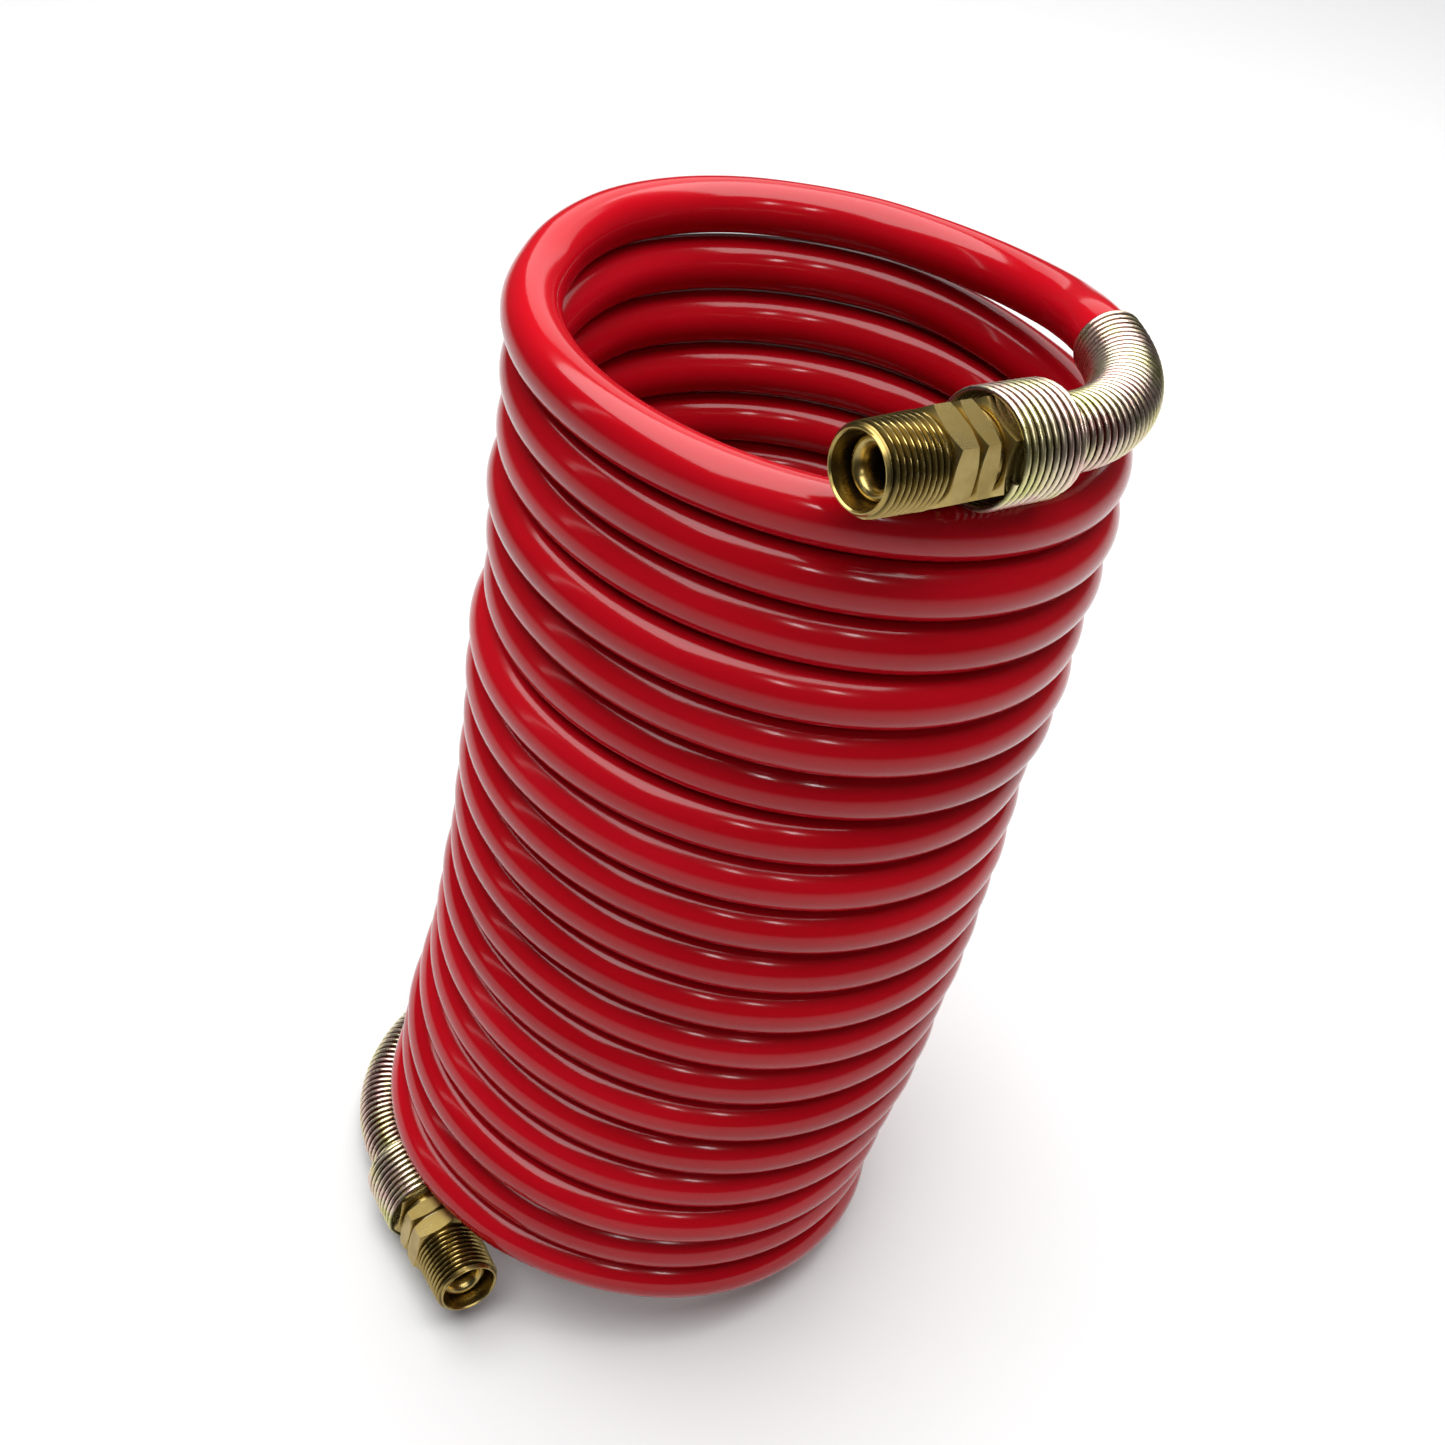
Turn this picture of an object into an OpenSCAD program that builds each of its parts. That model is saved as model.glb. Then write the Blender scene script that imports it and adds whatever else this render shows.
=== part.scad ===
// Self-retracting coiled air hose with a swivel male fitting and a spring guard at each end.
// The coil is laid out about its own axis, with height 0 at the front of the lowest whole
// turn, and is then leaned so that it stands on its lower fitting and its lowest turn.
// All lengths are in millimetres.

/* [Hose] */
// Outside diameter of the tube
hose_d = 12.7; // [12.5:0.05:12.7]
// Inside diameter of the tube
hose_bore_d = 9.5; // [9.5:0.05:9.7]
// Mean radius of the coil, to the middle of the tube
coil_r = 61.5; // [61.4:0.05:61.6]
// Rise of the coil in one turn
pitch = 12.73; // [12.72:0.01:12.8]

/* [Fitting] */
// Largest diameter of the tapered male thread, beside the hexagon
thread_d = 17.8; // [17.4:0.1:18]
// Length of the tapered thread
thread_l = 14.6; // [14.6:0.1:14.8]
// Distance between threads, 18 to the inch
thread_pitch = 1.411; // [1.35:0.001:1.42]
// Width across the flats of the three hexagons
hex_af = 17.5; // [17.3:0.05:17.5]
// Diameter of the journal that the nipple turns on
journal_d = 10; // [9.9:0.05:10]
// Radial clearance between the nipple and its journal
swivel_gap = 0.05; // [0.02:0.01:0.08]
// Bore of the stem
stem_bore_d = 6; // [5.6:0.1:6]

/* [Spring guard] */
// Thickness of the guard's wall, one wire thick
wire_d = 1.25; // [1.2:0.05:1.25]
// Outside diameter of the wide mouth
mouth_d = 22.8; // [22.75:0.01:22.85]
// Outside diameter of the long slim sleeve
sleeve_d = 15.5; // [15.5:0.05:15.6]

/* [Stance] */
// Lean of the coil's axis from upright, in degrees
lean = 8; // [7.9:0.05:8.1]
// Compass direction that the coil leans towards, counter-clockwise from +X, in degrees
lean_to = 45; // [44:0.5:46]

/* [Hidden] */
$fn = 48;

hose_r = hose_d / 2;
hose_bore_r = hose_bore_d / 2;
// Half-turns lie on each other and move apart, so their solids are a hair slimmer than the tube.
turn_r = hose_r - 0.17;
ring_count = 13;
ring_bottom = 1.27 * pitch;
ring_top = 13.23 * pitch;
first_half_turn = 14.5 * pitch;
half_turn_tilt = atan(pitch / 4 / coil_r);
last_half_turn = 8;
last_spread = 1.65;

// Places along a fitting's axis: 0 is the open face of the thread, and depths grow inwards.
swivel_hex_end = thread_l + 5.8;
washer_end = swivel_hex_end + 0.5;
stem_hex_end = washer_end + 4.8;
collar_end = stem_hex_end + 1.3;
spigot_end = collar_end + 7.6;
nut_start = collar_end + 0.6;
nut_hex_end = nut_start + 11;
nut_end = nut_start + 16;
socket_start = collar_end + 1.6;
tube_start = socket_start + 1.1;
mouth_start = 28.2;
mouth_end = 44.5;
neck_end = 49.5;
sleeve_start = 53;

journal_r = journal_d / 2;
swivel_bore_r = journal_r + swivel_gap;
stem_bore_r = stem_bore_d / 2;
flare_r = 6.1;
flare_start = 3.6;
flare_end = 6.2;
funnel_r = 4.6;
funnel_end = 6.8;
mouth_bore_r = 6.9;
o_ring_start = 12;
o_ring_end = 13.4;
o_ring_r = 0.55;
groove_r = 3.9;
spigot_r = 7.55;
ferrule_r = 7.4;
thread_depth = 0.95;
thread_taper = 1 / 32;
hex_corner_r = hex_af / sqrt(3);

// A fitting's place: centre of its open face, heading, rise, and tilt of its bend;
// then the bend's radius, sweep and side, which is 1 where it curls to the left;
// last, how far its hexagons are turned about its axis.
top_place = [[6.6, -76.5, 246.5], -135, 1, 4, 41, 70, -1, -12];
bottom_place = [[-32, -69.7, -12.8], -53, 6.2, 14, 42, 75, 1, 22];

// Routes of the two free tails, from the coil outwards: angle, radius and height of each point.
top_route = [[180, 64.8, 232.3], [165, 65.2, 234.2], [150, 65.2, 235.9], [135, 64.5, 237],
             [120, 63.4, 237.8], [105, 61.8, 238.4], [90, 60.1, 239.1], [75, 58.1, 239.7],
             [60, 56.2, 240.7], [45, 54.5, 242.2], [30, 53.2, 244.1]];
bottom_route = [[180, 65, 3.2], [200, 66.2, 2.4], [220, 66, 1.6], [240, 64.2, 1],
                [255, 62.6, 0.5], [270, 61.5, 0], [285, 61, -0.5], [300, 60.6, -1.1],
                [315, 60, -1.8], [330, 59.6, -2.8], [345, 59.4, -4.2], [360, 59.6, -5.6],
                [375, 60.2, -5.6], [390, 60.8, -5.2], [405, 61.2, -4.7], [420, 61.5, -5],
                [435, 62, -5.8], [450, 62.8, -7], [465, 64, -8.6], [480, 65.6, -10.6],
                [495, 67.2, -12.6], [508, 68.2, -14.2]];
route_sides = 12;

brass = "#b59a4e";
plated = "#c9b98a";
hose_red = "#b5121f";

// ---- Placing ----

// Shift that puts the origin on the ground under the middle of the whole object
stand_x = -3.92;
stand_y = -7.16;
stand_z = 19.62;

module stand() {
    translate([stand_x, stand_y, stand_z])
        rotate(a = lean, v = [-sin(lean_to), cos(lean_to), 0]) children();
}

// Puts a piece that is drawn on the +X axis, with its open face at the origin, in its place.
module at_fitting(place) {
    stand() translate(place[0]) rotate([0, 0, place[1]]) rotate([0, -place[2], 0])
        rotate([place[6] * place[3], 0, 0]) children();
}

// Turns a shape of revolution so that its depths, drawn upwards, run inwards from the face.
module inwards() {
    rotate([0, -90, 0]) children();
}

function unit(v) = v / norm(v);

// ---- Routes ----

function heading(place) = [cos(place[2]) * cos(place[1]), cos(place[2]) * sin(place[1]),
                           sin(place[2])];
function leftwards(place) = [-sin(place[1]), cos(place[1]), 0];
function bend_side(place) =
    place[6] * cos(place[3]) * leftwards(place)
    + sin(place[3]) * cross(heading(place), leftwards(place));

// Point of a fitting's bend, at angle a from where the straight part ends
function bend_point(place, a) =
    place[0] - (sleeve_start + place[4] * sin(a)) * heading(place)
    + place[4] * (1 - cos(a)) * bend_side(place);
function bend_heading(place, a) = cos(a) * heading(place) - sin(a) * bend_side(place);

function from_polar(p) = [p[1] * cos(p[0]), p[1] * sin(p[0]), p[2]];

// Directions of travel: central differences, and given values at the two ends
function route_headings(points, first, last) =
    [for (i = [0:len(points) - 1])
        i == 0 ? first
        : i == len(points) - 1 ? last
        : unit(points[i + 1] - points[i - 1])];

function ring_at(p, dir, r) =
    let (side = unit(cross([0, 0, 1], dir)), up = cross(dir, side))
    [for (k = [0:route_sides - 1])
        p + r * (cos(360 * k / route_sides) * side + sin(360 * k / route_sides) * up)];

module swept_tube(points, headings, r) {
    count = len(points);
    rings = [for (i = [0:count - 1]) each ring_at(points[i], headings[i], r)];
    walls = [for (i = [0:count - 2], k = [0:route_sides - 1])
        let (n = (k + 1) % route_sides, a = i * route_sides, b = a + route_sides)
        each [[a + k, b + k, a + n], [a + n, b + k, b + n]]];
    first = [[for (k = [0:route_sides - 1]) k]];
    last = [[for (k = [route_sides - 1:-1:0]) (count - 1) * route_sides + k]];
    polyhedron(points = rings, faces = concat(first, walls, last), convexity = 6);
}

// ---- Hose ----

module closed_turns() {
    step = (ring_top - ring_bottom) / (ring_count - 1);
    color(hose_red) stand() union() {
        rotate_extrude($fn = 96) union() {
            for (i = [0:ring_count - 1])
                translate([coil_r, ring_bottom + i * step]) circle(r = hose_r);
            // The turns touch all the way up
            translate([coil_r - hose_r / 3, ring_bottom])
                square([hose_r * 2 / 3, ring_top - ring_bottom]);
        }
        // The half-turns that lead on to the open turns above and to the tail below
        half_turn(0);
        half_turn(-27);
    }
}

// Half a turn, counted up from the first one that opens. Odd ones go round the back and even
// ones round the front. The last one spreads out to the left, to where the tail begins.
module half_turn(number) {
    back = number % 2 != 0;
    spread = number == last_half_turn ? last_spread : 0;
    translate([0, 0, first_half_turn + (number - 1) * pitch / 2])
        rotate([0, back ? -half_turn_tilt : half_turn_tilt, 0])
        translate([-spread, 0, 0])
        rotate([0, 0, back ? 0 : 180])
        rotate_extrude(angle = 180, $fn = 96)
        translate([coil_r + spread, 0]) circle(r = turn_r);
}

module open_turn(number) {
    color(hose_red) stand() half_turn(number);
}

module top_tail() {
    points = concat([for (p = top_route) from_polar(p)],
                    [bend_point(top_place, top_place[5])]);
    color(hose_red) stand()
        swept_tube(points,
                   route_headings(points, [0, 1, 0],
                                  bend_heading(top_place, top_place[5])),
                   turn_r);
}

module bottom_tail() {
    points = concat([for (p = bottom_route) from_polar(p)],
                    [bend_point(bottom_place, bottom_place[5])]);
    color(hose_red) stand()
        swept_tube(points,
                   route_headings(points, [0, -1, 0],
                                  bend_heading(bottom_place, bottom_place[5])),
                   hose_r);
}

// The end of the tube inside its guard and nut, bored so that it takes the insert. Its straight
// part runs on a little way inside the wall of its bend, so that the two are one piece.
module tube_end(place) {
    color(hose_red) at_fitting(place) {
        inwards() translate([0, 0, tube_start]) difference() {
            cylinder(r = hose_r - 0.01, h = sleeve_start - tube_start + 0.6);
            translate([0, 0, -1])
                cylinder(r = hose_bore_r + 0.01, h = sleeve_start - tube_start + 3);
        }
        bent(place) difference() {
            circle(r = hose_r);
            circle(r = hose_bore_r);
        }
    }
}

// Sweeps a flat shape round the bend behind a fitting.
module bent(place) {
    translate([-sleeve_start, place[6] * place[4], 0])
        rotate([0, 0, place[6] > 0 ? 270 - place[5] : 90])
        rotate_extrude(angle = place[5], $fn = 96)
        translate([place[4], 0]) children();
}

// ---- Fitting ----

function thread_r(depth) = thread_d / 2 - (thread_l - depth) * thread_taper;

// Outline of the thread: a crest and a root for each turn of it
function thread_outline() =
    let (first = 1.1, count = floor((thread_l - first - 0.3) / thread_pitch))
    concat([[0, 0], [thread_r(0) - thread_depth, 0]],
           [for (i = [0:count - 1])
               let (d = first + i * thread_pitch)
               each [[thread_r(d) - thread_depth, d],
                     [thread_r(d), d + thread_pitch * 0.38],
                     [thread_r(d), d + thread_pitch * 0.52],
                     [thread_r(d) - thread_depth, d + thread_pitch * 0.9]]],
           [[thread_r(thread_l) - thread_depth, thread_l], [0, thread_l]]);

// Hexagon with its corners turned down at both ends
module hex_bar(start, end, turned) {
    intersection() {
        translate([0, 0, start]) rotate([0, 0, turned])
            cylinder(r = hex_corner_r, h = end - start, $fn = 6);
        rotate_extrude() polygon([[0, start], [hex_af / 2, start],
                                  [hex_corner_r, start + 0.7], [hex_corner_r, end - 0.7],
                                  [hex_af / 2, end], [0, end]]);
    }
}

module nipple(place) {
    color(brass) at_fitting(place) inwards() difference() {
        union() {
            rotate_extrude() polygon(thread_outline());
            hex_bar(thread_l, swivel_hex_end, place[7]);
        }
        translate([0, 0, -1]) cylinder(r = mouth_bore_r, h = flare_end + 1.08);
        translate([0, 0, 1]) cylinder(r = swivel_bore_r, h = swivel_hex_end);
    }
}

module stem(place) {
    flare_mid = (flare_start + flare_end) / 2;
    flare_round = (flare_end - flare_start) / 2;
    color(brass) at_fitting(place) inwards() difference() {
        union() {
            rotate_extrude() union() {
                translate([0, flare_start])
                    square([flare_r - flare_round, flare_end - flare_start]);
                translate([flare_r - flare_round, flare_mid]) circle(r = flare_round);
            }
            translate([0, 0, flare_mid]) cylinder(r = journal_r, h = o_ring_start - flare_mid);
            translate([0, 0, flare_mid])
                cylinder(r = groove_r, h = o_ring_end + 1 - flare_mid);
            translate([0, 0, o_ring_end])
                cylinder(r = journal_r, h = washer_end - o_ring_end + 1);
            hex_bar(washer_end + 0.05, stem_hex_end, place[7]);
            translate([0, 0, stem_hex_end - 0.1])
                cylinder(r = hex_af / 2 - 0.5, h = collar_end - stem_hex_end + 0.1);
            translate([0, 0, collar_end - 0.1]) cylinder(r = spigot_r, h = spigot_end - collar_end);
        }
        translate([0, 0, -1]) cylinder(r = stem_bore_r, h = socket_start + 2);
        // A funnel leads into the bore
        translate([0, 0, flare_start])
            cylinder(r1 = funnel_r, r2 = stem_bore_r, h = funnel_end - flare_start);
        translate([0, 0, socket_start]) cylinder(r = hose_r + 0.05, h = spigot_end);
    }
}

module o_ring(place) {
    color("#202020") at_fitting(place) inwards()
        translate([0, 0, (o_ring_start + o_ring_end) / 2])
        rotate_extrude() translate([groove_r + o_ring_r + 0.02, 0]) circle(r = o_ring_r);
}

module thrust_washer(place) {
    color("#e8e4d8") at_fitting(place) inwards()
        translate([0, 0, swivel_hex_end + 0.05]) difference() {
            cylinder(r = hex_af / 2 - 0.6, h = washer_end - swivel_hex_end - 0.1);
            translate([0, 0, -1]) cylinder(r = journal_r + 0.1, h = 3);
        }
}

module nut(place) {
    color(brass) at_fitting(place) inwards() difference() {
        union() {
            hex_bar(nut_start, nut_hex_end, place[7]);
            translate([0, 0, nut_hex_end - 0.1])
                cylinder(r = hex_af / 2 - 0.4, h = nut_end - nut_hex_end + 0.1);
        }
        translate([0, 0, nut_start - 1]) cylinder(r = spigot_r + 0.05, h = spigot_end - nut_start + 1);
        translate([0, 0, spigot_end - 0.1]) cylinder(r = ferrule_r + 0.05, h = 5.1);
        translate([0, 0, nut_start]) cylinder(r = hose_r + 0.1, h = nut_end);
    }
}

module ferrule(place) {
    color(brass) at_fitting(place) inwards() translate([0, 0, spigot_end + 0.1]) difference() {
        rotate_extrude() polygon([[0, 0], [ferrule_r - 0.5, 0], [ferrule_r, 0.8],
                                  [ferrule_r, 3.6], [ferrule_r - 0.5, 4.6], [0, 4.6]]);
        translate([0, 0, -1]) cylinder(r = hose_r + 0.05, h = 8);
    }
}

module tube_insert(place) {
    color(brass) at_fitting(place) inwards() translate([0, 0, socket_start + 0.05]) difference() {
        union() {
            cylinder(r = hose_r - 0.3, h = 1);
            cylinder(r = hose_bore_r - 0.05, h = 14);
        }
        translate([0, 0, -1]) cylinder(r = stem_bore_r, h = 16);
    }
}

// ---- Spring guard ----

module guard_mouth(place) {
    wide = mouth_d / 2;
    slim = sleeve_d / 2;
    color(plated) at_fitting(place) inwards() rotate_extrude()
        polygon([[wide - wire_d, mouth_start], [wide, mouth_start], [wide, mouth_end],
                 [slim, neck_end], [slim, sleeve_start], [slim - wire_d, sleeve_start],
                 [slim - wire_d, neck_end], [wide - wire_d, mouth_end]]);
}

module guard_sleeve(place) {
    color(plated) at_fitting(place) bent(place) difference() {
        circle(r = sleeve_d / 2);
        circle(r = sleeve_d / 2 - wire_d);
    }
}

module open_turn_1() { open_turn(1); }
module open_turn_2() { open_turn(2); }
module open_turn_3() { open_turn(3); }
module open_turn_4() { open_turn(4); }
module open_turn_5() { open_turn(5); }
module open_turn_6() { open_turn(6); }
module open_turn_7() { open_turn(7); }
module open_turn_8() { open_turn(8); }

closed_turns();
open_turn_1();
open_turn_2();
open_turn_3();
open_turn_4();
open_turn_5();
open_turn_6();
open_turn_7();
open_turn_8();
bottom_tail();
top_tail();
nipple(bottom_place);  // bottom_nipple
stem(bottom_place);  // bottom_stem
o_ring(bottom_place);  // bottom_o_ring
thrust_washer(bottom_place);  // bottom_thrust_washer
nut(bottom_place);  // bottom_nut
ferrule(bottom_place);  // bottom_ferrule
tube_insert(bottom_place);  // bottom_tube_insert
tube_end(bottom_place);  // bottom_tube_end
guard_mouth(bottom_place);  // bottom_guard_mouth
guard_sleeve(bottom_place);  // bottom_guard_sleeve
nipple(top_place);  // top_nipple
stem(top_place);  // top_stem
o_ring(top_place);  // top_o_ring
thrust_washer(top_place);  // top_thrust_washer
nut(top_place);  // top_nut
ferrule(top_place);  // top_ferrule
tube_insert(top_place);  // top_tube_insert
tube_end(top_place);  // top_tube_end
guard_mouth(top_place);  // top_guard_mouth
guard_sleeve(top_place);  // top_guard_sleeve
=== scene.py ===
import math

import bpy
from mathutils import Matrix, Vector


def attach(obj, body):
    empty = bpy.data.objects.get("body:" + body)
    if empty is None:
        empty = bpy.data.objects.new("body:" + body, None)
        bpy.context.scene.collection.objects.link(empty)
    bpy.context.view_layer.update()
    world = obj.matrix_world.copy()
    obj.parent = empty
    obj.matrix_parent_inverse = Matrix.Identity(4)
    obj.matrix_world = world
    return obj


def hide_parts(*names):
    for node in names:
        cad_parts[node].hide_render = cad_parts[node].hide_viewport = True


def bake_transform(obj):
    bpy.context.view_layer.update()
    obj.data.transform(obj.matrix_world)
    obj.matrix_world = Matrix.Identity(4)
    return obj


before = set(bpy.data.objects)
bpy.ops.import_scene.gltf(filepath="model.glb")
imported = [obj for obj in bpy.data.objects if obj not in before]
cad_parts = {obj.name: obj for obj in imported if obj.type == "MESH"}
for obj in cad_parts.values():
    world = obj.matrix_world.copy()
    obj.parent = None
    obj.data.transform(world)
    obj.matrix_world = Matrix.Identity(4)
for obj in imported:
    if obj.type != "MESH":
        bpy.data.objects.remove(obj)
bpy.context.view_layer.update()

# Lengths below are in millimetres in the coil's own frame: height 0 is at the front of the lowest
# whole turn, and +Z is the coil's axis. stand() takes a point to the frame, in metres.
MM = 0.001
LEAN = math.radians(8)
LEAN_TO = math.radians(45)
SHIFT = Vector((-3.92, -7.16, 19.62)) * MM
STAND = Matrix.Translation(SHIFT) @ Matrix.Rotation(
    LEAN, 4, Vector((-math.sin(LEAN_TO), math.cos(LEAN_TO), 0)))

HOSE_R = 6.35
COIL_R = 61.5
PITCH = 12.73
TURNS = 18
# Angles down the coil, in degrees from the front of turn 1, where the opening half-turns begin,
# the closed turns begin, and the closed turns end
HALF_TURNS = 8
OPEN_FROM = -90
CLOSED_FROM = OPEN_FROM + HALF_TURNS * 180
CLOSED_TO = 6390
# How far each whole turn, counted from the top, sits to the right and to the back of the axis
RIGHTWARDS = (-3.3, -1.5, -0.7, -1, 0.5, 1, -1, 0, 1, 1.2, 1.7, 2, 1.2, 1.3, 0.8, -0.8, -2.3,
              -2.8, -3.8)
BACKWARDS = (0, -0.5, -0.1, -1.6, -0.5, 1.4, 0.4, 0.4, 0.5, 0.8, 0.7, 1.2, 1.2, 0.7, 0.7, 0.3,
             -1.4, 0, 0)
# How far the back of each of the first turns bows up
BOWS = (2.6, 2, 1.4, 0.8, 0.3, 0, 0)

# Depths along a fitting, from its open face
THREAD_END = 14.6
SWIVEL_HEX_END = 20.4
WASHER_END = 20.9
STEM_HEX_END = 25.7
COLLAR_END = 27.0
MOUTH_START = 28.2
MOUTH_END = 44.5
NECK_END = 49.5
SLEEVE_START = 53.0
TUBE_START = COLLAR_END + 2.7


def stand(p):
    return STAND @ (Vector(p) * MM)


# ---------------------------------------------------------------- camera

def add_camera():
    rise, roll = 0.63158, -0.25056
    back = Vector((0, -math.cos(rise), math.sin(rise)))
    right = Vector((1, 0, 0))
    up = Vector((0, math.sin(rise), math.cos(rise)))
    place = back * 425.33 + right * -4.82 + up * -0.13 + Vector((0, 0, 132.8))
    x = right * math.cos(roll) - up * math.sin(roll)
    y = right * math.sin(roll) + up * math.cos(roll)
    turn = Matrix((x, y, back)).transposed()
    data = bpy.data.cameras.new("camera")
    data.sensor_width = 36
    data.lens = 43.74
    data.clip_start = 0.01
    cam = bpy.data.objects.new("camera", data)
    bpy.context.scene.collection.objects.link(cam)
    cam.matrix_world = Matrix.Translation(stand(place)) @ (STAND.to_3x3() @ turn).to_4x4()
    bpy.context.scene.camera = cam


add_camera()

# ---------------------------------------------------------------- routes of the hose

# A fitting's place: centre of its open face, heading, rise, tilt of its bend, then the bend's
# radius, sweep and side, as in the CAD
PLACES = {
    "top": ((6.6, -76.5, 246.5), -135, 1, 4, 41, 70, -1),
    "bottom": ((-32, -69.7, -12.8), -53, 6.2, 14, 42, 75, 1),
}
TOP_ROUTE = ((165, 65.2, 234.2), (150, 65.2, 235.9), (135, 64.5, 237), (120, 63.4, 237.8),
             (105, 61.8, 238.4), (90, 60.1, 239.1), (75, 58.1, 239.7), (60, 56.2, 240.7),
             (45, 54.5, 242.2), (30, 53.2, 244.1))
BOTTOM_ROUTE = ((200, 66.2, 2.4), (220, 66, 1.6), (240, 64.2, 1),
                (255, 62.6, 0.5), (270, 61.5, 0), (285, 61, -0.5), (300, 60.6, -1.1),
                (315, 60, -1.8), (330, 59.6, -2.8), (345, 59.4, -4.2), (360, 59.6, -5.6),
                (375, 60.2, -5.6), (390, 60.8, -5.2), (405, 61.2, -4.7), (420, 61.5, -5),
                (435, 62, -5.8), (450, 62.8, -7), (465, 64, -8.6), (480, 65.6, -10.6),
                (495, 67.2, -12.6), (508, 68.2, -14.2))


class Fitting:
    """Where a fitting lies, and the centreline of the tube in its guard."""

    def __init__(self, face, heading, rise, tilt, radius, sweep, side):
        self.face = Vector(face)
        self.turn = (Matrix.Rotation(math.radians(heading), 3, "Z")
                     @ Matrix.Rotation(math.radians(-rise), 3, "Y"))
        self.ahead = self.turn @ Vector((1, 0, 0))
        across = self.turn @ Vector((0, 1, 0))
        above = self.turn @ Vector((0, 0, 1))
        self.roll = math.radians(side * tilt)
        self.aside = side * (math.cos(self.roll) * across + math.sin(self.roll) * above)
        self.radius = radius
        self.sweep = math.radians(sweep)
        self.bend_length = radius * self.sweep

    def matrix(self):
        spin = self.turn @ Matrix.Rotation(self.roll, 3, "X")
        return Matrix.Translation(self.face) @ spin.to_4x4()

    def line(self, depth):
        """Centre and inward direction at a depth from the open face, through the bend."""
        if depth <= SLEEVE_START:
            return self.face - self.ahead * depth, -self.ahead
        a = (depth - SLEEVE_START) / self.radius
        p = (self.face - self.ahead * (SLEEVE_START + self.radius * math.sin(a))
             + self.aside * self.radius * (1 - math.cos(a)))
        return p, -(self.ahead * math.cos(a)) + self.aside * math.sin(a)


FITTINGS = {name: Fitting(*place) for name, place in PLACES.items()}


def smooth(x):
    x = min(max(x, 0), 1)
    return x * x * (3 - 2 * x)


def wander(shifts, turns):
    """Value at a number of turns, eased from each whole turn to the next."""
    i = min(max(int(turns), 0), len(shifts) - 2)
    return shifts[i] + (shifts[i + 1] - shifts[i]) * smooth(turns - i)


def helix(angle):
    """Centre of the wound hose, at an angle in degrees down the coil from the front of turn 1."""
    a = math.radians(angle - 90)
    turns = angle / 360
    # The first turns bow up at the back, under the tail
    part = angle % 360
    bow = wander(BOWS, max(turns - 0.5, 0)) * smooth((part - 122) / 50) * smooth((275 - part) / 45)
    return Vector((COIL_R * math.cos(a) + wander(RIGHTWARDS, turns),
                   COIL_R * math.sin(a) + wander(BACKWARDS, turns),
                   PITCH * (TURNS - turns) + bow))


def from_polar(p):
    a = math.radians(p[0])
    return Vector((p[1] * math.cos(a), p[1] * math.sin(a), p[2]))


def through(points, first, last, step=1.5):
    """Smooth curve through points, with given directions at its two ends."""
    dirs = [first.normalized()]
    for i in range(1, len(points) - 1):
        dirs.append((points[i + 1] - points[i - 1]).normalized())
    dirs.append(last.normalized())
    out = []
    for i in range(len(points) - 1):
        a, b = points[i], points[i + 1]
        chord = (b - a).length
        count = max(2, round(chord / step))
        for k in range(count):
            t = k / count
            out.append((2 * t ** 3 - 3 * t ** 2 + 1) * a
                       + (t ** 3 - 2 * t ** 2 + t) * chord * dirs[i]
                       + (3 * t ** 2 - 2 * t ** 3) * b
                       + (t ** 3 - t ** 2) * chord * dirs[i + 1])
    return out + [points[-1]]


def tail_line(start, route, fitting, joins):
    """Centreline of a tail, from the coil to the end of the tube in its nut."""
    end = SLEEVE_START + fitting.bend_length
    p, inward = fitting.line(end)
    line = through([start] + [from_polar(q) for q in route] + [p], joins, -inward)
    depth = end - 1.5
    while depth > TUBE_START:
        line.append(fitting.line(depth)[0])
        depth -= 1.5
    return line + [fitting.line(TUBE_START)[0]]


def coil_line(start, end, step=3.0):
    count = round((end - start) / step)
    angles = [start + (end - start) * i / count for i in range(count + 1)]
    # Close rings at both ends, so that the shading runs on from piece to piece
    angles = [start, start + 0.2] + angles[1:-1] + [end - 0.2, end]
    return [helix(a) for a in angles]


TOP_LINE = tail_line(helix(OPEN_FROM), TOP_ROUTE, FITTINGS["top"], Vector((0, 1, 0.05)))
BOTTOM_LINE = tail_line(helix(CLOSED_TO), BOTTOM_ROUTE, FITTINGS["bottom"],
                        Vector((0, -1, -0.03)))

# ---------------------------------------------------------------- meshes


def new_object(name, verts, faces, smooth_angle=None, straight=None, crest=None):
    """Object from points in the coil's frame, smooth but for edges sharper than the angle."""
    mesh = bpy.data.meshes.new(name)
    mesh.from_pydata([stand(v) for v in verts], [], faces)
    if straight:
        layer = mesh.attributes.new("straight", "FLOAT_VECTOR", "POINT")
        layer.data.foreach_set("vector", [c for p in straight for c in p])
    if crest:
        layer = mesh.attributes.new("crest", "FLOAT", "POINT")
        layer.data.foreach_set("value", crest)
    mesh.validate()
    mesh.shade_smooth()
    if smooth_angle:
        mesh.set_sharp_from_angle(angle=math.radians(smooth_angle))
    obj = bpy.data.objects.new(name, mesh)
    bpy.context.scene.collection.objects.link(obj)
    return obj


def lengths_along(line):
    out = [0.0]
    for a, b in zip(line, line[1:]):
        out.append(out[-1] + (b - a).length)
    return out


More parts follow.
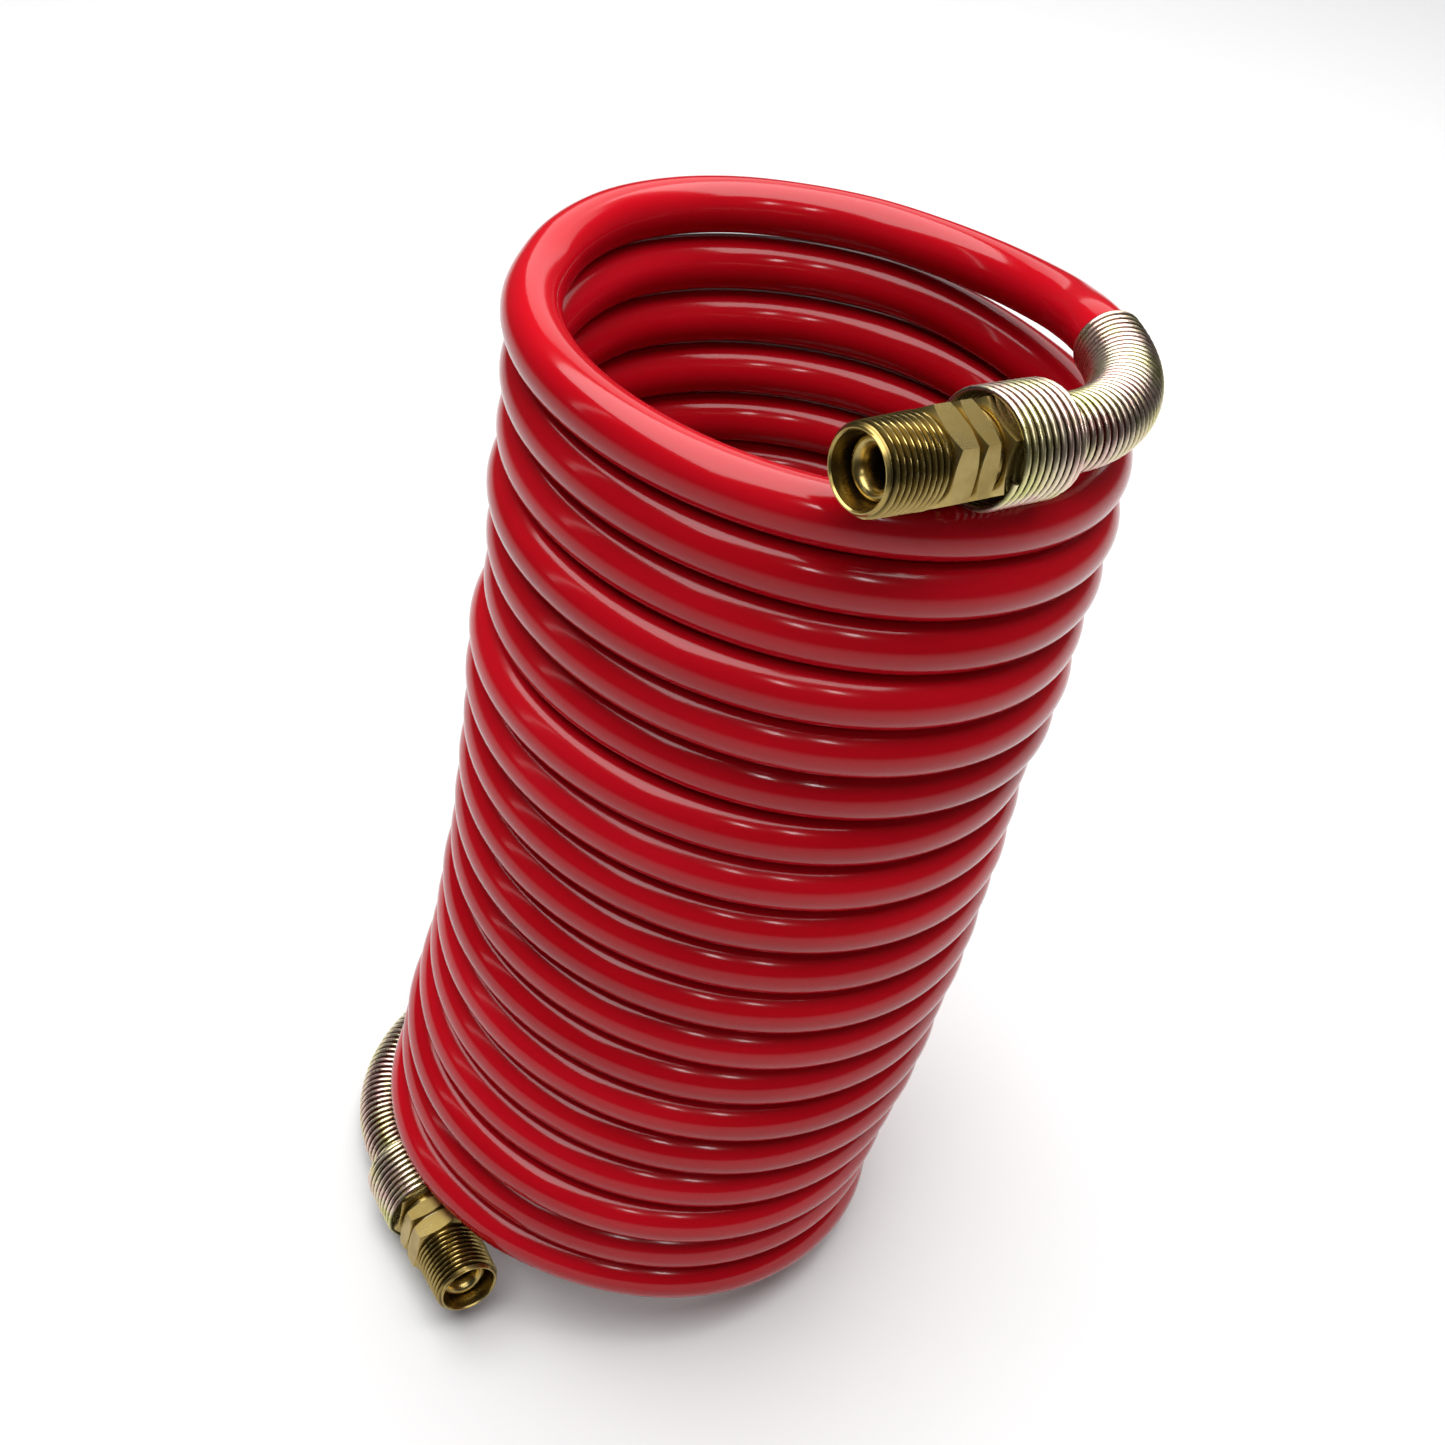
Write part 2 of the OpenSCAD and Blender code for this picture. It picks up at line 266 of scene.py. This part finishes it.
def tube(name, line, radius=HOSE_R, sides=32, begins=0.0):
    """Round tube along a line. Each point keeps its place on the tube as it was before winding."""
    verts, straight, faces = [], [], []
    along = lengths_along(line)
    count = len(line)
    for i, p in enumerate(line):
        ahead = (line[min(i + 1, count - 1)] - line[max(i - 1, 0)]).normalized()
        side = Vector((0, 0, 1)).cross(ahead).normalized()
        up = ahead.cross(side)
        for k in range(sides):
            a = 2 * math.pi * k / sides
            verts.append(p + radius * (math.cos(a) * side + math.sin(a) * up))
            straight.append((radius * math.cos(a) * MM, radius * math.sin(a) * MM,
                             (begins + along[i]) * MM))
    for i in range(count - 1):
        for k in range(sides):
            n = (k + 1) % sides
            a, b = i * sides, (i + 1) * sides
            faces.append((a + k, b + k, b + n, a + n))
    faces.append(tuple(range(sides)))
    faces.append(tuple((count - 1) * sides + k for k in reversed(range(sides))))
    return new_object(name, verts, faces, 50, straight)


# ---------------------------------------------------------------- the hose, from the top fitting

top_line = list(reversed(TOP_LINE))
begins = 0.0
top_tail = tube("hose_top_tail", top_line)
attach(top_tail, "top_end")
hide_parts("top_tail", "top_tube_end")
begins += lengths_along(top_line)[-1]
hose_pieces = [top_tail]

# Half-turns that open, from the top one down, each a separate mesh that no body carries
for number in range(HALF_TURNS, 0, -1):
    start = OPEN_FROM + (HALF_TURNS - number) * 180
    line = coil_line(start, start + 180)
    piece = tube(f"hose_half_turn_{number}", line, begins=begins)
    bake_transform(piece)
    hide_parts(f"open_turn_{number}")
    begins += lengths_along(line)[-1]
    hose_pieces.append(piece)

line = coil_line(CLOSED_FROM, CLOSED_TO)
closed = tube("hose_closed_turns", line, begins=begins)
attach(closed, "coil")
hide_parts("closed_turns")
begins += lengths_along(line)[-1]

bottom_tail = tube("hose_bottom_tail", BOTTOM_LINE, begins=begins)
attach(bottom_tail, "coil")
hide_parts("bottom_tail", "bottom_tube_end")
hose_pieces += [closed, bottom_tail]
hose_length = begins + lengths_along(BOTTOM_LINE)[-1]
print("hose length in mm:", round(hose_length))

# ---------------------------------------------------------------- fittings and guards

BORE_R = 3.0
HEX_FLAT = 8.75
WIRE_R = 0.66
THREAD_PITCH = 1.411
THREAD_R = 8.9
THREAD_CUT = 1.05
THREAD_TAPER = 1 / 32


def fitting_object(name, verts, faces, fitting, smooth_angle=40):
    """Object from points (depth, radius, angle) about a fitting's axis."""
    place = fitting.matrix()
    points, drawn, crest = [], [], []
    for depth, radius, angle in verts:
        # Drawn upright and then laid along the fitting, as in the CAD
        q = Vector((-depth, radius * math.sin(angle), radius * math.cos(angle)))
        points.append(place @ q)
        drawn.append((q.x * MM, q.y * MM, q.z * MM))
        # How far a point of the thread stands above its root, which sets the painted shade in the
        # thread's grooves
        top = THREAD_R - (THREAD_END - depth) * THREAD_TAPER
        in_thread = 0.5 < depth < THREAD_END and radius > 7
        crest.append(1 + (radius - top) / THREAD_CUT if in_thread else 1.0)
    return new_object(name, points, faces, smooth_angle, drawn, crest)


def ring_grid(rows, around):
    """Faces of a closed ring whose rows of points follow each other in a loop."""
    faces = []
    for i in range(rows):
        j = (i + 1) % rows
        for k in range(around):
            n = (k + 1) % around
            faces.append((i * around + k, i * around + n, j * around + n, j * around + k))
    return faces


def turned(profile, around=96):
    """Ring turned from a closed profile of (depth, radius), counter-clockwise."""
    verts = [(d, r, 2 * math.pi * k / around) for d, r in profile for k in range(around)]
    return verts, ring_grid(len(profile), around)


def hex_ring(start, end, bore, spin, around=180):
    """Hexagon with a bore, its corners turned down to a cone at both ends."""
    crown = HEX_FLAT - 0.25
    slope = math.tan(math.radians(30))
    rows = [[], [], [], [], [], []]
    for k in range(around):
        a = 2 * math.pi * k / around
        flat = HEX_FLAT / math.cos((a + math.pi / 6) % (math.pi / 3) - math.pi / 6)
        drop = (flat - crown) * slope
        at = a + spin
        rows[0].append((start, bore, at))
        rows[1].append((start, crown, at))
        rows[2].append((start + drop, flat, at))
        rows[3].append((end - drop, flat, at))
        rows[4].append((end, crown, at))
        rows[5].append((end, bore, at))
    return [v for row in rows for v in row], ring_grid(6, around)


def join_parts(*parts):
    verts, faces = [], []
    for v, f in parts:
        base = len(verts)
        verts += v
        faces += [tuple(i + base for i in face) for face in f]
    return verts, faces


def thread(length, around=120, steps=14):
    """Tapered thread with a real helix, and the bore behind its open face."""
    rows = []
    count = round(length / THREAD_PITCH * steps)
    rim = THREAD_R - length * THREAD_TAPER - 1.0
    for i in range(count + 1):
        depth = 0.12 + (length - 0.12) * i / count
        crest = THREAD_R - (length - depth) * THREAD_TAPER
        row = []
        for k in range(around):
            phase = (depth / THREAD_PITCH + k / around) % 1
            cut = min(1, max(0, (abs(phase - 0.5) * 2 - 0.14) / 0.72))
            r = crest - THREAD_CUT * cut
            # The end is chamfered, and the thread runs out into the hexagon
            r = min(r, rim + 0.1 + (depth - 0.12) * 0.9)
            r += (THREAD_R - THREAD_CUT - r) * smooth(1 - (length - depth) / 0.8)
            row.append((depth, r, 2 * math.pi * k / around))
        rows.append(row)
    ends = [(length + 0.3, THREAD_R - THREAD_CUT), (length + 0.3, 5.05), (7.28, 5.05),
            (7.28, 6.9), (0.35, 6.95), (0.0, 7.2), (0.0, rim)]
    for d, r in ends:
        rows.append([(d, r, 2 * math.pi * k / around) for k in range(around)])
    return [v for row in rows for v in row], ring_grid(len(rows), around)


def nipple(end, fitting, spin):
    verts, faces = join_parts(
        thread(THREAD_END), hex_ring(THREAD_END, SWIVEL_HEX_END, 5.05, spin))
    return fitting_object(f"{end}_nipple_detail", verts, faces, fitting, 35)


def stem(end, fitting, spin):
    # The flared lip that holds the nipple on, with a funnel in it
    lip = [(7.5, BORE_R), (6.2, 3.15), (5.1, 3.5), (4.3, 4.0), (3.8, 4.5), (3.6, 5.0), (3.7, 5.5),
           (4.1, 5.9), (4.8, 6.1), (5.5, 5.95), (6.0, 5.5), (6.3, 5.0),
           (WASHER_END + 0.3, 4.99), (WASHER_END + 0.3, BORE_R)]
    collar = [(STEM_HEX_END - 0.2, 8.2), (STEM_HEX_END, 8.25), (COLLAR_END - 0.2, 8.25),
              (COLLAR_END, 8.05), (COLLAR_END, 7.55), (COLLAR_END + 7.6, 7.55),
              (COLLAR_END + 7.6, 6.4), (COLLAR_END + 1.6, 6.4), (COLLAR_END + 1.6, BORE_R),
              (STEM_HEX_END - 0.2, BORE_R)]
    verts, faces = join_parts(
        turned(lip), hex_ring(WASHER_END + 0.05, STEM_HEX_END, BORE_R, spin), turned(collar))
    return fitting_object(f"{end}_stem_detail", verts, faces, fitting, 35)


def nut(end, fitting, spin):
    start = COLLAR_END + 0.6
    skirt = [(start + 10.9, 7.6), (start + 10.9, 8.35), (start + 15.6, 8.35), (start + 16, 7.95),
             (start + 16, 6.5), (start + 11.7, 6.5), (start + 11.7, 7.6)]
    verts, faces = join_parts(hex_ring(start, start + 11, 7.6, spin), turned(skirt))
    return fitting_object(f"{end}_nut_detail", verts, faces, fitting, 35)


def guard_radius(depth):
    """From the fitting's line to the middle of the wire."""
    wide = 11.4 - WIRE_R - 0.02
    slim = 7.75 - WIRE_R - 0.02
    return wide + (slim - wide) * smooth((depth - MOUTH_END) / (NECK_END - MOUTH_END))


def guard_pitch(depth):
    neck = 1 - abs(depth - (MOUTH_END + NECK_END) / 2) / 3
    return 1.85 - 0.42 * smooth(neck)


def wire_guard(name, fitting, start, end, sides=10, per_turn=36):
    """One wire wound about the fitting's line, from one depth to another."""
    centres, verts, drawn, faces, crest = [], [], [], [], []
    depth, angle = start, 0.0
    while depth < end:
        centres.append((depth, angle))
        depth += guard_pitch(depth) / per_turn
        angle += 2 * math.pi / per_turn
    rings = len(centres)
    level = fitting.ahead.cross(fitting.aside)
    for depth, angle in centres:
        p, inward = fitting.line(depth)
        side = level.cross(inward).normalized()
        out = math.cos(angle) * side + math.sin(angle) * level
        r = guard_radius(depth)
        for k in range(sides):
            a = 2 * math.pi * k / sides
            verts.append(p + out * (r + WIRE_R * math.cos(a)) + inward * WIRE_R * math.sin(a))
            drawn.append((r * math.cos(angle) * MM, r * math.sin(angle) * MM, depth * MM))
            # How far the wire's surface faces outward, which sets the painted shade between the
            # turns of the wire
            crest.append(max(0.0, math.cos(a)))
    for i in range(rings - 1):
        for k in range(sides):
            n = (k + 1) % sides
            a, b = i * sides, (i + 1) * sides
            faces.append((a + k, a + n, b + n, b + k))
    faces.append(tuple(reversed(range(sides))))
    faces.append(tuple((rings - 1) * sides + k for k in range(sides)))
    return new_object(name, verts, faces, 60, drawn, crest)


detail = {"brass": [], "wire": []}
for end, body, tip, spin in (("top", "top_end", "top_swivel_nipple", 18),
                             ("bottom", "coil", "bottom_swivel_nipple", -8)):
    fitting = FITTINGS[end]
    for make, node, rides in ((nipple, "nipple", tip), (stem, "stem", body), (nut, "nut", body)):
        piece = make(end, fitting, math.radians(spin))
        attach(piece, rides)
        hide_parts(f"{end}_{node}")
        detail["brass"].append(piece)
    last = SLEEVE_START + fitting.bend_length - WIRE_R
    guard = wire_guard(f"{end}_guard_wire", fitting, MOUTH_START + WIRE_R, last)
    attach(guard, body)
    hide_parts(f"{end}_guard_mouth", f"{end}_guard_sleeve")
    detail["wire"].append(guard)

# ---------------------------------------------------------------- materials


def material(name):
    mat = bpy.data.materials.new(name)
    mat.use_nodes = True
    tree = mat.node_tree
    return mat, tree, tree.nodes["Principled BSDF"]


def add(tree, kind, inputs=None, **settings):
    node = tree.nodes.new("ShaderNode" + kind)
    for key, value in settings.items():
        setattr(node, key, value)
    for key, value in (inputs or {}).items():
        if isinstance(value, bpy.types.NodeSocket):
            tree.links.new(value, node.inputs[key])
        else:
            node.inputs[key].default_value = value
    return node


def ramp(tree, source, stops, interpolation="LINEAR"):
    node = add(tree, "ValToRGB", {"Fac": source})
    node.color_ramp.interpolation = interpolation
    while len(node.color_ramp.elements) < len(stops):
        node.color_ramp.elements.new(0.5)
    for element, (place, colour) in zip(node.color_ramp.elements, stops):
        element.position = place
        element.color = (*colour, 1)
    return node.outputs["Color"]


def scaled(tree, vector, scale):
    node = add(tree, "VectorMath", {0: vector, 1: scale}, operation="MULTIPLY")
    return node.outputs["Vector"]


def noise(tree, vector, scale, detail_levels=3.0, rough=0.5):
    node = add(tree, "TexNoise", {"Vector": vector, "Scale": scale, "Detail": detail_levels,
                                  "Roughness": rough})
    return node.outputs["Fac"]


def painted_groove_shade(tree, colour, low):
    """Colour made darker away from the crests of the thread or the wire: painted shade in the
    grooves of the thread and between the turns of the wire.
    """
    crest = add(tree, "Attribute", attribute_name="crest").outputs["Fac"]
    level = add(tree, "MapRange", {"Value": crest, "From Min": 0.3, "From Max": 0.95,
                                   "To Min": low, "To Max": 1.0}).outputs["Result"]
    node = add(tree, "VectorMath", {0: colour}, operation="SCALE")
    tree.links.new(level, node.inputs["Scale"])
    return node.outputs["Vector"]


def hose_material():
    mat, tree, shader = material("glossy_red_tube")
    where = add(tree, "Attribute", attribute_name="straight").outputs["Vector"]
    # Long faint streaks from the die, and slow changes of depth in the colour
    streaks = noise(tree, scaled(tree, where, (900, 900, 6)), 1.0, 2.0)
    slow = noise(tree, scaled(tree, where, (60, 60, 14)), 1.0, 3.0)
    colour = ramp(tree, slow, ((0.25, (0.29, 0.001, 0.005)), (0.5, (0.35, 0.002, 0.007)),
                               (0.78, (0.42, 0.003, 0.010))))
    tree.links.new(colour, shader.inputs["Base Color"])
    rough = add(tree, "MapRange", {"Value": slow, "From Min": 0.3, "From Max": 0.75,
                                   "To Min": 0.12, "To Max": 0.19})
    tree.links.new(rough.outputs["Result"], shader.inputs["Roughness"])
    orange = noise(tree, scaled(tree, where, (420, 420, 160)), 1.0, 2.0)
    height = add(tree, "Math", {0: streaks, 1: orange}, operation="ADD")
    bump = add(tree, "Bump", {"Strength": 0.10, "Distance": 0.00010, "Height": height.outputs[0]})
    tree.links.new(bump.outputs["Normal"], shader.inputs["Normal"])
    shader.inputs["IOR"].default_value = 1.5
    shader.inputs["Specular IOR Level"].default_value = 0.24
    shader.inputs["Coat Weight"].default_value = 0.12
    shader.inputs["Coat Roughness"].default_value = 0.06
    return mat


def brass_material():
    mat, tree, shader = material("machined_brass")
    where = add(tree, "Attribute", attribute_name="straight").outputs["Vector"]
    rings = noise(tree, scaled(tree, where, (2600, 90, 90)), 1.0, 2.0)
    stain = noise(tree, where, 180.0, 4.0, 0.55)
    grain = noise(tree, where, 2200.0, 2.0)
    colour = ramp(tree, stain, ((0.25, (0.30, 0.21, 0.062)), (0.5, (0.38, 0.28, 0.095)),
                                (0.75, (0.45, 0.35, 0.14))))
    # Painted shade: the brass is darkened in the thread's grooves, away from its crests
    tree.links.new(painted_groove_shade(tree, colour, 0.25), shader.inputs["Base Color"])
    shader.inputs["Metallic"].default_value = 1.0
    rough = add(tree, "MapRange", {"Value": stain, "From Min": 0.3, "From Max": 0.7,
                                   "To Min": 0.32, "To Max": 0.24})
    tree.links.new(rough.outputs["Result"], shader.inputs["Roughness"])
    height = add(tree, "Math", {0: rings, 1: grain}, operation="ADD")
    bump = add(tree, "Bump", {"Strength": 0.12, "Distance": 0.00003, "Height": height.outputs[0]})
    tree.links.new(bump.outputs["Normal"], shader.inputs["Normal"])
    return mat


def wire_material():
    mat, tree, shader = material("yellow_zinc_wire")
    where = add(tree, "Attribute", attribute_name="straight").outputs["Vector"]
    patches = noise(tree, scaled(tree, where, (110, 110, 50)), 1.0, 2.0, 0.4)
    fine = noise(tree, scaled(tree, where, (500, 500, 900)), 1.0, 3.0)
    mixed = add(tree, "Math", {0: fine, 1: 0.16}, operation="MULTIPLY")
    total = add(tree, "Math", {0: patches, 1: mixed.outputs[0]}, operation="ADD")
    # The plating's film runs through straw, rose and green
    colour = ramp(tree, total.outputs[0], (
        (0.36, (0.52, 0.56, 0.18)), (0.47, (0.74, 0.66, 0.34)), (0.56, (0.80, 0.68, 0.50)),
        (0.64, (0.76, 0.52, 0.46)), (0.74, (0.74, 0.64, 0.40)), (0.86, (0.52, 0.56, 0.22))))
    # Painted shade: the wire is darkened on its sides and underside, away from its outer crest,
    # between the turns of the wire
    tree.links.new(painted_groove_shade(tree, colour, 0.22), shader.inputs["Base Color"])
    shader.inputs["Metallic"].default_value = 1.0
    rough = add(tree, "MapRange", {"Value": fine, "From Min": 0.3, "From Max": 0.7,
                                   "To Min": 0.24, "To Max": 0.34})
    tree.links.new(rough.outputs["Result"], shader.inputs["Roughness"])
    bump = add(tree, "Bump", {"Strength": 0.08, "Distance": 0.00003, "Height": fine})
    tree.links.new(bump.outputs["Normal"], shader.inputs["Normal"])
    return mat


def rubber_material():
    mat, tree, shader = material("black_seal_rubber")
    where = add(tree, "TexCoord").outputs["Object"]
    grain = noise(tree, where, 1800.0, 3.0)
    colour = ramp(tree, grain, ((0.3, (0.012, 0.012, 0.012)), (0.7, (0.035, 0.035, 0.035))))
    tree.links.new(colour, shader.inputs["Base Color"])
    shader.inputs["Roughness"].default_value = 0.6
    bump = add(tree, "Bump", {"Strength": 0.2, "Distance": 0.0001, "Height": grain})
    tree.links.new(bump.outputs["Normal"], shader.inputs["Normal"])
    return mat


def washer_material():
    mat, tree, shader = material("white_washer_plastic")
    where = add(tree, "TexCoord").outputs["Object"]
    grain = noise(tree, where, 900.0, 4.0)
    colour = ramp(tree, grain, ((0.3, (0.55, 0.50, 0.38)), (0.7, (0.78, 0.74, 0.62))))
    tree.links.new(colour, shader.inputs["Base Color"])
    shader.inputs["Roughness"].default_value = 0.45
    bump = add(tree, "Bump", {"Strength": 0.2, "Distance": 0.0001, "Height": grain})
    tree.links.new(bump.outputs["Normal"], shader.inputs["Normal"])
    return mat


def dress(obj, mat):
    obj.data.materials.clear()
    obj.data.materials.append(mat)


red, brass, wire = hose_material(), brass_material(), wire_material()
seal, washer = rubber_material(), washer_material()
for piece in hose_pieces:
    dress(piece, red)
for piece in detail["brass"]:
    dress(piece, brass)
for piece in detail["wire"]:
    dress(piece, wire)
for end in PLACES:
    for node, mat in (("o_ring", seal), ("thrust_washer", washer), ("ferrule", brass),
                      ("tube_insert", brass)):
        dress(bpy.data.objects[f"{end}_{node}"], mat)

# ---------------------------------------------------------------- floor and light


def add_floor():
    mesh = bpy.data.meshes.new("floor")
    s = 6.0
    mesh.from_pydata([(-s, -s, 0), (s, -s, 0), (s, s, 0), (-s, s, 0)], [], [(0, 1, 2, 3)])
    floor = bpy.data.objects.new("floor", mesh)
    bpy.context.scene.collection.objects.link(floor)
    mat = bpy.data.materials.new("floor")
    mat.use_nodes = True
    shader = mat.node_tree.nodes["Principled BSDF"]
    shader.inputs["Base Color"].default_value = (0.60, 0.60, 0.60, 1)
    shader.inputs["Roughness"].default_value = 0.8
    mesh.materials.append(mat)


def add_light(name, place, target, width, height, power):
    data = bpy.data.lights.new(name, "AREA")
    data.shape = "RECTANGLE"
    data.size = width
    data.size_y = height
    data.energy = power
    light = bpy.data.objects.new(name, data)
    bpy.context.scene.collection.objects.link(light)
    light.location = place
    aim = Vector(target) - Vector(place)
    light.rotation_euler = aim.to_track_quat("-Z", "Y").to_euler()


add_floor()
add_light("overhead", (-0.05, 0.15, 1.4), (0, 0.05, 0.1), 1.7, 1.7, 54)
add_light("back", (0.1, 1.7, 1.15), (0, 0, 0.15), 1.9, 0.9, 8)
add_light("left", (-1.1, -0.25, 0.8), (0, 0, 0.15), 0.08, 0.9, 0.5)
add_light("window_a", (0.30, -0.80, 1.0), (0, 0, 0.15), 0.09, 0.14, 0.8)
add_light("window_b", (0.62, -0.68, 1.0), (0, 0, 0.15), 0.09, 0.14, 0.8)

world = bpy.data.worlds.new("world")
bpy.context.scene.world = world
world.use_nodes = True
world.node_tree.nodes["Background"].inputs["Color"].default_value = (1, 1, 1, 1)
world.node_tree.nodes["Background"].inputs["Strength"].default_value = 0.06
bpy.context.scene.view_settings.view_transform = "Standard"
